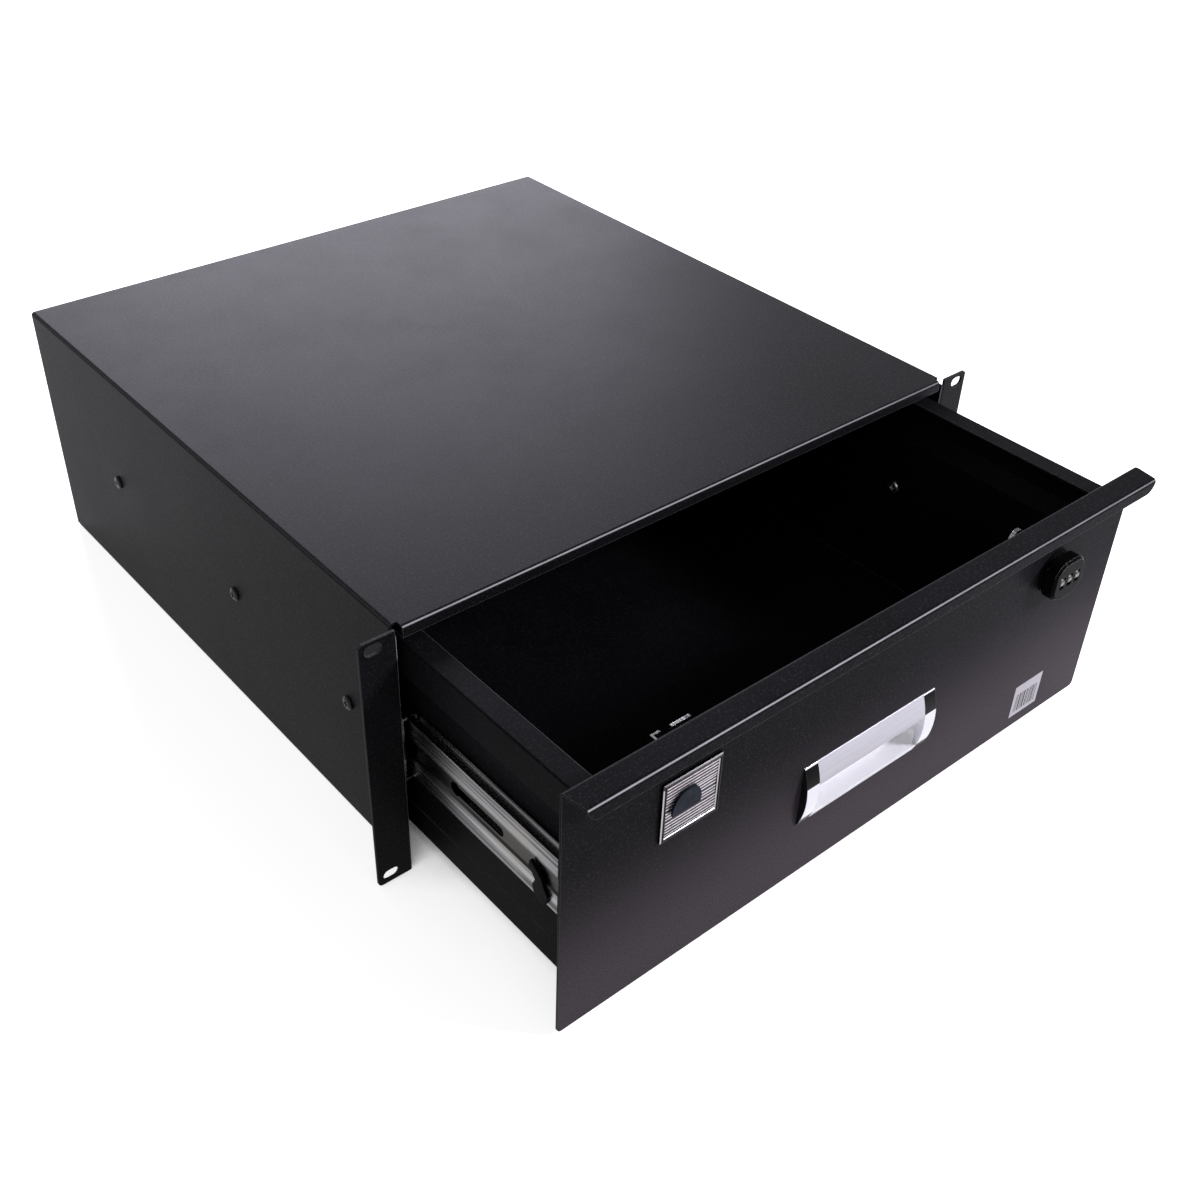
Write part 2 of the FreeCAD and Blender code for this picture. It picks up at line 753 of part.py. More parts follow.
def tray_ends():
    """Front and rear walls of the tray, each one sheet fitted between the sides."""
    wall = z.tray_sheet
    wide = tray_half + z.tray_bulge
    slope_end = z.bulge_start + z.bulge_rise
    rear = panel_rear + z.tray_depth
    profile = [(-tray_inner, z.tray_floor + wall), (-tray_inner, z.bulge_start), (wall - wide, slope_end)]
    front = new_body("tray_front")
    pad(front, "XZ_Plane", tray_front_rear, wall, [mirrored(profile + [(wall - wide, z.tray_front_top)])])
    pocket(front, "XZ_Plane", panel_rear, front_cutouts() + [
        disc(a, b, z.screw_radius + z.screw_play)
        for a, b in panel_screw_places() + housing_screw_places()])
    back = new_body("tray_back")
    pad(back, "XZ_Plane", rear, wall, [mirrored(profile + [(wall - wide, z.tray_top - wall)])])


def front_cutouts():
    """Openings for the key lock, the combination lock and the handle's scoop."""
    half_cup = z.handle_width / 2 - z.handle_cap / 2 + z.cutout_play
    cup_low = z.handle_top - z.handle_height + z.scoop_rim - z.cutout_play
    cup_high = z.handle_top - z.scoop_rim + z.cutout_play
    return [
        disc(key_across, z.key_up, z.key_plug_radius + z.cutout_play),
        disc(combo_across, z.combo_up, z.combo_barrel_radius + z.running_play),
        box(z.handle_centre - half_cup, z.handle_centre + half_cup, cup_low, cup_high)]


def panel_screw_places():
    half = half_case - z.panel_screw_from_side
    return [(across * half, up) for across in (-1, 1) for up in (z.panel_screw_low, z.panel_screw_high)]


def housing_screw_places():
    return [(key_across + way * z.housing_screw_across, z.key_up - z.housing_screw_below)
            for way in (-1, 1)]


def front_panel():
    """Front panel with the lip folded forward and down along its top."""
    body = new_body("front_panel")
    wall = z.panel_sheet
    half = half_case + z.panel_overlap
    lip_face = panel_face - z.panel_lip_reach
    lip_low = roof - z.panel_lip_drop
    pad(body, "YZ_Plane", -half, 2 * half, [outline([
        (panel_rear, z.panel_bottom), (panel_rear, roof), (lip_face, roof), (lip_face, lip_low),
        (lip_face + wall, lip_low), (lip_face + wall, roof - wall), (panel_face, roof - wall),
        (panel_face, z.panel_bottom)])])
    bend = z.bend_radius
    soften(body, "Fillet", bend, "X", [(panel_rear, roof), (lip_face, roof)])
    soften(body, "Fillet", bend - wall, "X", [(panel_face, roof - wall), (lip_face + wall, roof - wall)])
    for side in (-1, 1):
        taper = z.panel_lip_taper
        pocket(body, "XY_Plane", roof, [outline([
            (side * half, panel_face - bend), (side * (half - taper), lip_face - 1),
            (side * (half + 1), lip_face - 1), (side * (half + 1), panel_face - bend)])],
            z.panel_lip_drop)
        tip = half - taper
        radius = z.panel_lip_corner
        pocket(body, "XZ_Plane", lip_face - 1, [outline([
            (side * (tip - radius), lip_low, side * radius), (side * tip, lip_low + radius),
            (side * (half + 1), lip_low + radius), (side * (half + 1), lip_low - 1),
            (side * (tip - radius), lip_low - 1)])], 1 + bend)
    soften(body, "Fillet", z.panel_corner, "Y", [(-half, z.panel_bottom), (half, z.panel_bottom)])
    pocket(body, "XZ_Plane", panel_face, front_cutouts())


def handle_depth(level):
    """How far forward the bulged front of the handle lies at a level."""
    half = z.handle_height / 2
    middle = z.handle_top - half
    radius = plain(handle_radius())
    drop = radius - math.sqrt(radius ** 2 - (plain(level) - plain(middle)) ** 2)
    return z.handle_edge + z.handle_bulge - drop


def handle_radius():
    half = z.handle_height / 2
    return (half * half / z.handle_bulge + z.handle_bulge) / 2


def handle_parts():
    """Pull handle: hood above the finger opening, scoop behind it, and an end cap on each side."""
    top = z.handle_top
    low = top - z.handle_height
    half = z.handle_width / 2
    inner = half - z.handle_cap
    left = z.handle_centre - inner
    hood_low = top - z.hood_height
    round_front = handle_radius()
    edge = panel_face - z.handle_edge
    hood_front = panel_face - handle_depth(hood_low)
    wall = z.hood_wall
    hood = new_body("handle_hood")
    pad(hood, "YZ_Plane", left, 2 * inner, [outline([
        (panel_face, top), (edge, top, round_front), (hood_front, hood_low),
        (hood_front + wall, hood_low, -(round_front - wall)), (panel_face - wall / 2, top - wall),
        (panel_face, top - wall)])])
    soften(hood, "Fillet", wall * 0.45, "X", [(hood_front, hood_low), (hood_front + wall, hood_low)])
    soften(hood, "Fillet", z.handle_edge, "X", [(edge, top)])
    for name, start in (("left", z.handle_centre - half), ("right", z.handle_centre + inner)):
        cap = new_body("handle_cap_%s" % name)
        pad(cap, "YZ_Plane", start, z.handle_cap, [outline([
            (panel_face, top), (edge, top, round_front), (edge, low), (panel_face, low)])])
    scoop = new_body("handle_scoop")
    thin = z.scoop_wall
    cup_low = low + z.scoop_rim
    rim_top = cup_low + thin
    rim_front = panel_face - handle_depth(rim_top)
    pad(scoop, "YZ_Plane", left, 2 * inner, [outline([
        (rim_front, rim_top, round_front), (edge, low), (panel_face, low), (panel_face, rim_top)])])
    cup_half = half - z.handle_cap / 2
    cup_left = z.handle_centre - cup_half
    cup_right = z.handle_centre + cup_half
    cup_top = top - z.scoop_rim
    cup_rear = panel_face + z.scoop_depth
    pad(scoop, "XZ_Plane", cup_rear, z.scoop_depth, [box(cup_left, cup_right, cup_low, cup_top)])
    pocket(scoop, "XZ_Plane", panel_face, [
        round_box(cup_left + thin, cup_right - thin, rim_top, cup_top - thin, z.scoop_round - thin)],
        z.scoop_depth - thin)
    soften_face(scoop, "Fillet", z.scoop_floor_round, "Y", cup_rear - thin)


def key_lock():
    """Key lock: bezel, ribbed plate, plug with crank pin, cover, housing, corner post and bolt."""
    across = key_across
    up = z.key_up
    half = z.key_plate_side / 2
    inside = half - z.key_bezel_rim
    bezel = new_body("key_bezel")
    pad(bezel, "XZ_Plane", panel_face, z.key_bezel_proud, [
        box(across - half, across + half, up - half, up + half),
        box(across - inside, across + inside, up - inside, up + inside)])
    bezel_face = panel_face - z.key_bezel_proud
    soften_face(bezel, "Chamfer", z.key_bezel_rim * 0.4, "Y", bezel_face)

    plate = new_body("key_plate")
    edge = inside - z.inner_fit
    plug_hole = z.key_plug_radius + z.running_play
    pad(plate, "XZ_Plane", panel_face, z.key_plate_thickness, [
        box(across - edge, across + edge, up - edge, up + edge), disc(across, up, plug_hole)])
    rib_face = panel_face - z.key_plate_thickness
    rib_from = z.key_plug_radius + z.key_rib_pitch
    ribs = []
    for way in (-1, 1):
        for count in range(5):
            level = up + way * (rib_from + z.key_rib_pitch * count)
            ribs.append(box(across - edge, across + edge,
                            level - z.key_rib_width / 2, level + z.key_rib_width / 2))
    pad(plate, "XZ_Plane", rib_face, z.key_rib_height, ribs)
    pivot_up = up + z.cover_pivot_up
    pocket(plate, "XZ_Plane", rib_face - z.key_rib_height, [
        disc(across, pivot_up, z.cover_pivot_radius + z.running_play)])

    plug = new_body("key_plug")
    bolt_front = panel_rear + z.bolt_setback
    crank = z.crank_radius * math.sqrt(0.5)
    plug_rear = bolt_front - z.bolt_play
    pin_rear = bolt_front + z.bolt_thickness
    pad(plug, "XZ_Plane", plug_rear, plug_rear - rib_face, [disc(across, up, z.key_plug_radius)])
    pad(plug, "XZ_Plane", pin_rear, pin_rear - plug_rear, [
        disc(across + crank, up - crank, z.crank_pin_radius)])
    pocket(plug, "XZ_Plane", rib_face, [
        box(across - z.keyway_width / 2, across + z.keyway_width / 2,
            up - z.keyway_height / 2, up + z.keyway_height / 2)], z.keyway_depth)

    cover = new_body("key_cover")
    cover_rear = rib_face - z.key_rib_height - z.shut_gap
    leaf_low = up - z.cover_bottom
    leaf_top = up + z.cover_top
    leaf_bow = z.cover_left
    pad(cover, "XZ_Plane", cover_rear, z.cover_thickness, [outline([
        (across - z.cover_left, leaf_low), (across + z.cover_right, leaf_low, leaf_bow),
        (across + z.cover_right * 0.4, leaf_top, leaf_bow),
        (across - z.cover_left * 0.6, leaf_top, leaf_bow)])])
    pad(cover, "XZ_Plane", panel_face, panel_face - cover_rear, [
        disc(across, pivot_up, z.cover_pivot_radius)])

    housing = new_body("key_housing")
    wide = z.key_housing_width / 2
    block_rear = tray_front_rear + z.key_housing_depth
    pad(housing, "XZ_Plane", block_rear, z.key_housing_depth, [
        box(across - wide, across + wide, up - z.key_housing_below, up + z.key_housing_above)] + [
        disc(a, b, z.screw_radius + z.screw_play) for a, b in housing_screw_places()])
    play = z.bolt_play
    lift = bolt_lift()
    base_half = z.bolt_base_width / 2 + play
    stem_half = z.bolt_width / 2 + play
    base_low = up - z.bolt_base_height + z.crank_pin_radius * 3
    base_high = base_low + z.bolt_base_height
    channel_depth = z.bolt_thickness + 2 * play
    pocket(housing, "XZ_Plane", tray_front_rear, [disc(across, up, plug_hole)], bolt_front - tray_front_rear)
    channel = [
        (across - base_half, base_low - play), (across + base_half, base_low - play),
        (across + base_half, base_high + lift + play), (across + stem_half, base_high + lift + play),
        (across + stem_half, up + z.key_housing_above), (across - stem_half, up + z.key_housing_above),
        (across - stem_half, base_high + lift + play), (across - base_half, base_high + lift + play)]
    pocket(housing, "XZ_Plane", bolt_front - play, [outline(channel)], channel_depth)

    bracket = new_body("key_bracket")
    housing_top = up + z.key_housing_above
    thin = z.bracket_sheet
    left = key_across - z.bracket_from_key
    right = left + z.bracket_width
    rear = bolt_front + z.bracket_behind
    pad(bracket, "XY_Plane", housing_top, z.bracket_top - housing_top, [outline([
        (left, rear - z.bracket_depth), (left + thin, rear - z.bracket_depth),
        (left + thin, rear - thin), (right, rear - thin), (right, rear), (left, rear)])])

    bolt = new_body("key_bolt")
    base = z.bolt_base_width / 2
    stem = z.bolt_width / 2
    slot_low = up - crank - z.crank_pin_radius - play
    slot_high = up - crank + z.crank_pin_radius + play
    slot_left = across + crank - z.crank_pin_radius - play
    slot_right = across + z.crank_radius + z.crank_pin_radius + play
    pad(bolt, "XZ_Plane", bolt_front + z.bolt_thickness, z.bolt_thickness, [
        outline([(across - base, base_low), (across + base, base_low), (across + base, base_high),
                 (across + stem, base_high), (across + stem, z.bolt_top), (across - stem, z.bolt_top),
                 (across - stem, base_high), (across - base, base_high)]),
        box(slot_left, slot_right, slot_low, slot_high)])


def bolt_lift():
    """Height that a quarter turn of the crank gives the bolt."""
    return z.crank_radius * math.sqrt(2)


def combination_lock():
    """Combination lock: flange and barrel, nut, turning knob, number dials and cam."""
    across = combo_across
    up = z.combo_up
    flange_face = panel_face - z.combo_flange
    collar_face = flange_face - z.combo_collar
    barrel_rear = panel_face + z.combo_barrel_length
    bore = z.combo_spindle_radius + z.running_play
    base = new_body("combo_base")
    pad(base, "XZ_Plane", panel_face, z.combo_flange, [disc(across, up, z.combo_flange_radius)])
    pad(base, "XZ_Plane", flange_face, z.combo_collar, [disc(across, up, z.combo_collar_radius)])
    pad(base, "XZ_Plane", barrel_rear, z.combo_barrel_length, [disc(across, up, z.combo_barrel_radius)])
    pocket(base, "XZ_Plane", collar_face, [disc(across, up, bore)])

    nut = new_body("combo_nut")
    flat = z.nut_across_flats / 2
    point = flat / math.cos(math.pi / 6)
    pad(nut, "XZ_Plane", tray_front_rear + z.nut_thickness, z.nut_thickness, [
        outline([(across + point, up), (across + point / 2, up + flat), (across - point / 2, up + flat),
                 (across - point, up), (across - point / 2, up - flat), (across + point / 2, up - flat)]),
        disc(across, up, z.combo_barrel_radius + z.running_play)])

    knob = new_body("combo_knob")
    knob_rear = collar_face - z.knob_gap
    knob_face = knob_rear - z.knob_depth
    wide = z.knob_width / 2
    tall = z.knob_height / 2
    cam_front = barrel_rear + z.cam_gap
    spindle_rear = cam_front + z.cam_thickness
    pad(knob, "XZ_Plane", knob_rear, z.knob_depth, [
        round_box(across - wide, across + wide, up - tall, up + tall, z.knob_round)])
    soften_face(knob, "Chamfer", z.knob_face_round, "Y", knob_face)
    dial_middle = knob_face - z.dial_proud + z.dial_radius
    window = z.dial_width / 2 + z.dial_play
    window_deep = dial_middle + z.dial_radius + z.dial_play - knob_face
    window_tall = z.dial_radius + z.dial_play
    dials = [across + z.dial_pitch * count for count in (-1, 0, 1)]
    pocket(knob, "XZ_Plane", knob_face, [
        box(place - window, place + window, up - window_tall, up + window_tall) for place in dials],
        window_deep)
    pad(knob, "XZ_Plane", cam_front, cam_front - knob_rear, [disc(across, up, z.combo_spindle_radius)])
    square = z.cam_square / 2
    tip = square * math.sqrt(2)
    pad(knob, "XZ_Plane", spindle_rear, z.cam_thickness, [
        outline([(across, up + tip), (across + tip, up), (across, up - tip), (across - tip, up)])])
    cut_beside(knob, "XZ_Plane", spindle_rear, -1, z.cam_screw_length, [
        disc(across, up, z.cam_screw_radius + z.screw_play)])
    pan_screws("combo_cam_screw", "XZ_Plane", spindle_rear, 1, z.cam_screw_length, [(across, up)],
               z.cam_screw_radius)
    pin_half = z.dial_pitch + window + z.dial_play
    pad(knob, "YZ_Plane", across - pin_half, 2 * pin_half, [disc(dial_middle, up, z.dial_pin_radius)])

    for count, place in enumerate(dials, 1):
        dial = new_body("combo_dial_%d" % count)
        reach = z.dial_radius
        facets = []
        for step in range(10):
            angle = math.radians(36 * step + 18)
            facets.append((dial_middle + reach * math.cos(angle), up + reach * math.sin(angle)))
        pad(dial, "YZ_Plane", place - z.dial_width / 2, z.dial_width, [
            outline(facets), disc(dial_middle, up, z.dial_pin_radius + z.running_play)])

    cam = new_body("combo_cam")
    half_wide = z.cam_width / 2
    pad(cam, "XZ_Plane", 0, z.cam_thickness, [
        round_box(-half_wide, half_wide, -half_wide, z.cam_length, half_wide * 0.9),
        box(-square - z.running_play, square + z.running_play,
            -square - z.running_play, square + z.running_play)])
    turn = FreeCAD.Rotation(FreeCAD.Vector(0, 1, 0), -z.cam_rest_angle.number)
    cam.Placement = FreeCAD.Placement(FreeCAD.Vector(), turn)
    bind(cam, "Placement.Base.x", across)
    bind(cam, "Placement.Base.y", spindle_rear)
    bind(cam, "Placement.Base.z", up - z.case_height / 2)


def paper_label():
    """Plain paper label low on the right of the panel."""
    body = new_body("front_label")
    half_wide = z.label_width / 2
    half_tall = z.label_height / 2
    pad(body, "XZ_Plane", panel_face, z.label_thickness, [
        box(label_across - half_wide, label_across + half_wide,
            z.label_up - half_tall, z.label_up + half_tall)])


def screws():
    """All screw groups, one node for each row."""
    radius = z.screw_radius
    side_places = [(place, z.slide_level) for place in side_screws()]
    rail_places = [(place, z.slide_level) for place in rail_screws()]
    grip = z.case_sheet + z.cabinet_sheet
    clamp = z.tray_sheet + z.rail_sheet
    for name, side in (("left", -1), ("right", 1)):
        pan_screws("case_screws_" + name, "YZ_Plane", side * half_case, side, grip, side_places, radius)
        pan_screws("rail_screws_" + name, "YZ_Plane", side * tray_inner, -side, clamp, rail_places, radius)
    pan_screws("panel_screws", "XZ_Plane", tray_front_rear, 1, z.tray_sheet, panel_screw_places(), radius)
    pan_screws("key_housing_screws", "XZ_Plane", tray_front_rear + z.key_housing_depth, 1,
               z.key_housing_depth + z.tray_sheet, housing_screw_places(), radius)


case_shell()
case_back()
for name, side in (("left", -1), ("right", 1)):
    slide_cabinet(name, side)
    slide_middle(name, side)
    slide_drawer(name, side)
    slide_balls(name, side)
    slide_bumper(name, side)
drawer_tray()
tray_ends()
front_panel()
handle_parts()
key_lock()
combination_lock()
paper_label()
screws()
doc.recompute()

for thing in doc.Objects:
    if "Invalid" in thing.State or "Error" in thing.State:
        raise ValueError("%s failed to build" % thing.Label)
os.makedirs("parts", exist_ok=True)
for node in NODES:
    if node.Shape.isNull() or not node.Shape.isValid():
        raise ValueError("%s has no sound shape" % node.Label)
    node.Shape.exportStep("parts/%s.step" % node.Label)
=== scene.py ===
import json
import math
import random

import bmesh
import bpy
from mathutils import Matrix, Vector


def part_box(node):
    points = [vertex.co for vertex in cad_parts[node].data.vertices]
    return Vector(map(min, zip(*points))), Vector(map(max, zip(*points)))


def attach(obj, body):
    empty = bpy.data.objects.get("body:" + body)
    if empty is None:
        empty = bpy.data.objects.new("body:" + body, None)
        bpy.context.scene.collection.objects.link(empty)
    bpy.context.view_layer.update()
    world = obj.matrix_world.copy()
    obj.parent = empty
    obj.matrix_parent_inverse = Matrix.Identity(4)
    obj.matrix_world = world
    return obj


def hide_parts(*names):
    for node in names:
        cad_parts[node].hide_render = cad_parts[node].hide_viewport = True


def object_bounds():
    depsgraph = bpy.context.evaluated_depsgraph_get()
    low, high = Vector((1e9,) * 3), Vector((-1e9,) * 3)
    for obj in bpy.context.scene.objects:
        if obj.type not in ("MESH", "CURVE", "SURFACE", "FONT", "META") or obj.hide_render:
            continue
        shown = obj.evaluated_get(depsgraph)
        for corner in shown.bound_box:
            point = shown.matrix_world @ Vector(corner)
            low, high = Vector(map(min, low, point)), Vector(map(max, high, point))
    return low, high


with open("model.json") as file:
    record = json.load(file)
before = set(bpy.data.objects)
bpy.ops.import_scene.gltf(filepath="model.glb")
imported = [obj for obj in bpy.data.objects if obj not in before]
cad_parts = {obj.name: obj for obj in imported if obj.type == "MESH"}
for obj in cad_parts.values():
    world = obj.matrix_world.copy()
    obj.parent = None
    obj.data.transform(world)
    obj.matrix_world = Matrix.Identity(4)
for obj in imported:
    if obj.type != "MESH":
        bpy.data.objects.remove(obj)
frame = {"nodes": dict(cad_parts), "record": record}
cad_low, cad_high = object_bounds()
NODES = frame["nodes"]
BODIES = frame["record"]["behaviour"]["bodies"]
scene = bpy.context.scene
scene.view_settings.view_transform = "Standard"

# Lengths are in metres, apart from the screws, which are made in millimetres and then scaled.
MM = 0.001

# The camera was fitted to the photo with the sizes of the rack standard.
SENSOR_WIDTH = 36
LENS = 43.31
CAMERA_PLACE = (-0.5206, -0.4980, 0.5465)
CAMERA_ACROSS = Vector((0.7634258796, -0.6451634858, 0.0307409001))
CAMERA_UPWARD = Vector((0.3715144217, 0.4775523898, 0.7961914025))
CAMERA_BACK = Vector((-0.5283540109, -0.5964124341, 0.6042633926))

# A wide window behind the case and a small lamp at the front right.
LAMP_COLOUR = (0.90, 0.88, 1.0)
LAMPS = (
    # name, place, target, width, height, power
    ("window", (0.98, 2.15, 0.95), (-0.1, 0.3, 0), 1.5, 0.9, 76),
    ("front_right", (1.1, -1.35, 1.2), (0.1, -0.1, 0), 0.4, 0.4, 35),
)
SKY_AS_LIGHT, SKY_AS_SEEN = 0.35, 1.0

FLOOR_HALF = 8.0
FLOOR_GAP = 0.0004
FLOOR_COLOUR = (0.86, 0.86, 0.86, 1)
FLOOR_GLOW = 0.78
SHADOW_REACH = 0.30
SHADOW_ENDS_AT = 0.32

COAT_DARK, COAT_LIGHT = (0.0035, 0.0033, 0.0040), (0.0065, 0.0062, 0.0075)
COAT_GRAIN = (0.052, 0.046, 0.052)
# Painted light: a lighter coat colour low on the front of the panel, leaving its top darker as painted shade
# under the lip.
COAT_PAINTED_LIGHT = (0.070, 0.059, 0.066)
# Lighter edges: partly edge wear, partly painted highlight along the folds.
COAT_WEAR_AND_HIGHLIGHT = (0.20, 0.20, 0.21)
# The fold colours are painted highlights on the coat's rounded folds, brightest where the folds face the
# front.
FOLD_HIGHLIGHT_DIM, FOLD_HIGHLIGHT_BRIGHT = (0.05, 0.05, 0.056), (0.48, 0.47, 0.49)
COAT_TINT = (0.94, 0.92, 1, 1)
# Heights where the painted light on the panel starts and where it is full.
PAINTED_LIGHT_TOP, PAINTED_LIGHT_FULL = 0.040, -0.075

ZINC_DARK, ZINC_BRIGHT = (0.05, 0.05, 0.054), (0.37, 0.37, 0.385)
ZINC_STAIN = (0.30, 0.27, 0.235)
# Painted shade in the trough along the middle of the slides.
TROUGH_SHADE_COLOUR = (0.014, 0.012, 0.010)
TROUGH_MIDDLE = 0.0026
TROUGH_EDGE, TROUGH_FULL = 0.0078, 0.0060

# The end caps' dark upper part and their darker outward faces are painted reflections.
CAP_BRIGHT, CAP_OUTWARD_REFLECTION, CAP_PAINTED_REFLECTION = (0.62, 0.62, 0.65), (0.075, 0.075, 0.080), (0.002, 0.002, 0.002)
CAP_REFLECTION_SHARE = 0.31

RIB_PITCH = 0.0021
FIRST_RIB = 0.0077
# Painted shade between the ribs of the lock plate and painted light on their crests.
RIB_SHADE, RIB_LIT = (0.020, 0.018, 0.020), (0.86, 0.80, 0.84)

# The bezel's line colour is a painted highlight.
BEZEL_DARK, BEZEL_LIGHT, BEZEL_HIGHLIGHT = (0.004, 0.004, 0.004), (0.016, 0.015, 0.014), (0.42, 0.41, 0.41)

# The knob's edge colour is a painted highlight.
KNOB_DARK, KNOB_LIGHT, KNOB_HIGHLIGHT = (0.002, 0.002, 0.002), (0.005, 0.005, 0.005), (0.60, 0.60, 0.62)

HEAD_HEIGHT = 0.0024
SCREW_APART = 0.005
SCREW_STEPS = 28
SMOOTH_BELOW = math.radians(32)

DIAL_RADIUS = 0.004
DIAL_STEPS = 10
DIGIT_SIZE = 0.0030
DIGIT_DEPTH = 0.00004
DIGIT_LIFT = 0.00001

BAR_WIDTHS = (0.0006, 0.0006, 0.0011, 0.0016)
BAR_GAPS = (0.0006, 0.0008, 0.0012)
BAR_LIFT = 0.00003


class Nodes:
    """A node tree with short calls for the nodes that the materials share."""

    def __init__(self, tree):
        self.tree = tree
        tree.nodes.clear()

    def add(self, kind, **values):
        node = self.tree.nodes.new(kind)
        for name, value in values.items():
            setattr(node, name, value)
        return node

    def link(self, source, target):
        self.tree.links.new(source, target)

    def put(self, socket, value):
        """Links a socket, or sets a number or a colour."""
        if isinstance(value, bpy.types.NodeSocket):
            self.link(value, socket)
        elif isinstance(value, tuple):
            socket.default_value = (*value, 1)
        else:
            socket.default_value = value

    def math(self, operation, *values, clamp=False):
        node = self.add("ShaderNodeMath", operation=operation, use_clamp=clamp)
        for socket, value in zip(node.inputs, values):
            self.put(socket, value)
        return node.outputs[0]

    def times(self, one, other, clamp=False):
        return self.math("MULTIPLY", one, other, clamp=clamp)

    def minus(self, one, other):
        return self.math("SUBTRACT", one, other)

    def size(self, value):
        return self.math("ABSOLUTE", value)

    def larger(self, one, other):
        return self.math("MAXIMUM", one, other)

    def mix(self, factor, low, high):
        """A colour between two."""
        node = self.add("ShaderNodeMix", data_type="RGBA")
        self.put(node.inputs[0], factor)
        self.put(node.inputs[6], low)
        self.put(node.inputs[7], high)
        return node.outputs[2]

    def blend(self, factor, low, high):
        """A number between two."""
        node = self.add("ShaderNodeMix", data_type="FLOAT")
        self.put(node.inputs[0], factor)
        self.put(node.inputs[2], low)
        self.put(node.inputs[3], high)
        return node.outputs[0]

    def step(self, value, none, full):
        """0 at the first value, 1 at the second and smooth between them."""
        node = self.add("ShaderNodeMapRange", interpolation_type="SMOOTHSTEP")
        self.put(node.inputs["Value"], value)
        node.inputs["From Min"].default_value = none
        node.inputs["From Max"].default_value = full
        return node.outputs["Result"]

    def place(self):
        """Position in the object's own space, so that the pattern stays on it."""
        return self.add("ShaderNodeTexCoord").outputs["Object"]

    def own_normal(self):
        return self.axes(self.add("ShaderNodeTexCoord").outputs["Normal"])

    def normal(self):
        return self.add("ShaderNodeNewGeometry").outputs["Normal"]

    def axes(self, vector):
        node = self.add("ShaderNodeSeparateXYZ")
        self.link(vector, node.inputs[0])
        return node.outputs

    def stretched(self, vector, scale):
        node = self.add("ShaderNodeMapping")
        self.link(vector, node.inputs["Vector"])
        node.inputs["Scale"].default_value = scale
        return node.outputs[0]

    def noise(self, vector, scale, detail=3.0, rough=0.5):
        node = self.add("ShaderNodeTexNoise")
        self.link(vector, node.inputs["Vector"])
        node.inputs["Scale"].default_value = scale
        node.inputs["Detail"].default_value = detail
        node.inputs["Roughness"].default_value = rough
        return node.outputs["Fac"]

    def bevel(self, radius):
        node = self.add("ShaderNodeBevel", samples=4)
        node.inputs["Radius"].default_value = radius
        return node.outputs[0]

    def edges(self, radius, full, none):
        """1 near an edge of the shape, 0 on its open faces."""
        dot = self.add("ShaderNodeVectorMath", operation="DOT_PRODUCT")
        self.link(self.bevel(radius), dot.inputs[0])
        self.link(self.normal(), dot.inputs[1])
        return self.step(dot.outputs["Value"], none, full)

    def bump(self, height, strength, distance, normal=None):
        node = self.add("ShaderNodeBump")
        self.link(height, node.inputs["Height"])
        node.inputs["Strength"].default_value = strength
        node.inputs["Distance"].default_value = distance
        if normal is not None:
            self.link(normal, node.inputs["Normal"])
        return node.outputs[0]

    def seen_white(self):
        """1 for the rays that show the surroundings, 0 for those that only light the part."""
        seen = self.add("ShaderNodeLightPath").outputs
        return self.larger(seen["Is Camera Ray"],
                           self.larger(seen["Is Glossy Ray"], seen["Is Transmission Ray"]))


def linked(name, data):
    """A new object in the scene."""
    made = bpy.data.objects.new(name, data)
    scene.collection.objects.link(made)
    return made


# Camera, light and floor

def make_camera():
    data = bpy.data.cameras.new("camera")
    data.sensor_width = SENSOR_WIDTH
    data.lens = LENS
    data.clip_start = 0.01
    camera = linked("camera", data)
    turn = Matrix((CAMERA_ACROSS, CAMERA_UPWARD, CAMERA_BACK)).transposed().to_4x4()
    camera.matrix_world = Matrix.Translation(CAMERA_PLACE) @ turn
    scene.camera = camera


def make_lamp(name, place, target, width, height, power):
    data = bpy.data.lights.new(name, "AREA")
    data.shape = "RECTANGLE"
    data.size = width
    data.size_y = height
    data.energy = power
    data.color = LAMP_COLOUR
    light = linked(name, data)
    light.location = place
    light.visible_camera = False
    light.rotation_euler = (Vector(target) - Vector(place)).to_track_quat("-Z", "Y").to_euler()


def make_world():
    world = bpy.data.worlds.new("studio")
    scene.world = world
    world.use_nodes = True
    nodes = Nodes(world.node_tree)
    background = nodes.add("ShaderNodeBackground")
    background.inputs["Color"].default_value = (1, 1, 1, 1)
    nodes.link(nodes.blend(nodes.seen_white(), SKY_AS_LIGHT, SKY_AS_SEEN), background.inputs["Strength"])
    output = nodes.add("ShaderNodeOutputWorld")
    nodes.link(background.outputs[0], output.inputs[0])


def floor_paint():
    """A pale floor that also glows where it is seen, less so close to the part."""
    paint = bpy.data.materials.new("floor_paint")
    paint.use_nodes = True
    nodes = Nodes(paint.node_tree)
    diffuse = nodes.add("ShaderNodeBsdfDiffuse")
    diffuse.inputs["Color"].default_value = FLOOR_COLOUR
    open_sky = nodes.add("ShaderNodeAmbientOcclusion", samples=8)
    open_sky.inputs["Distance"].default_value = SHADOW_REACH
    shade = nodes.step(open_sky.outputs["AO"], 0.0, SHADOW_ENDS_AT)
    glow = nodes.add("ShaderNodeEmission")
    nodes.link(nodes.times(nodes.times(nodes.seen_white(), FLOOR_GLOW), shade), glow.inputs["Strength"])
    both = nodes.add("ShaderNodeAddShader")
    nodes.link(diffuse.outputs[0], both.inputs[0])
    nodes.link(glow.outputs[0], both.inputs[1])
    output = nodes.add("ShaderNodeOutputMaterial")
    nodes.link(both.outputs[0], output.inputs[0])
    return paint


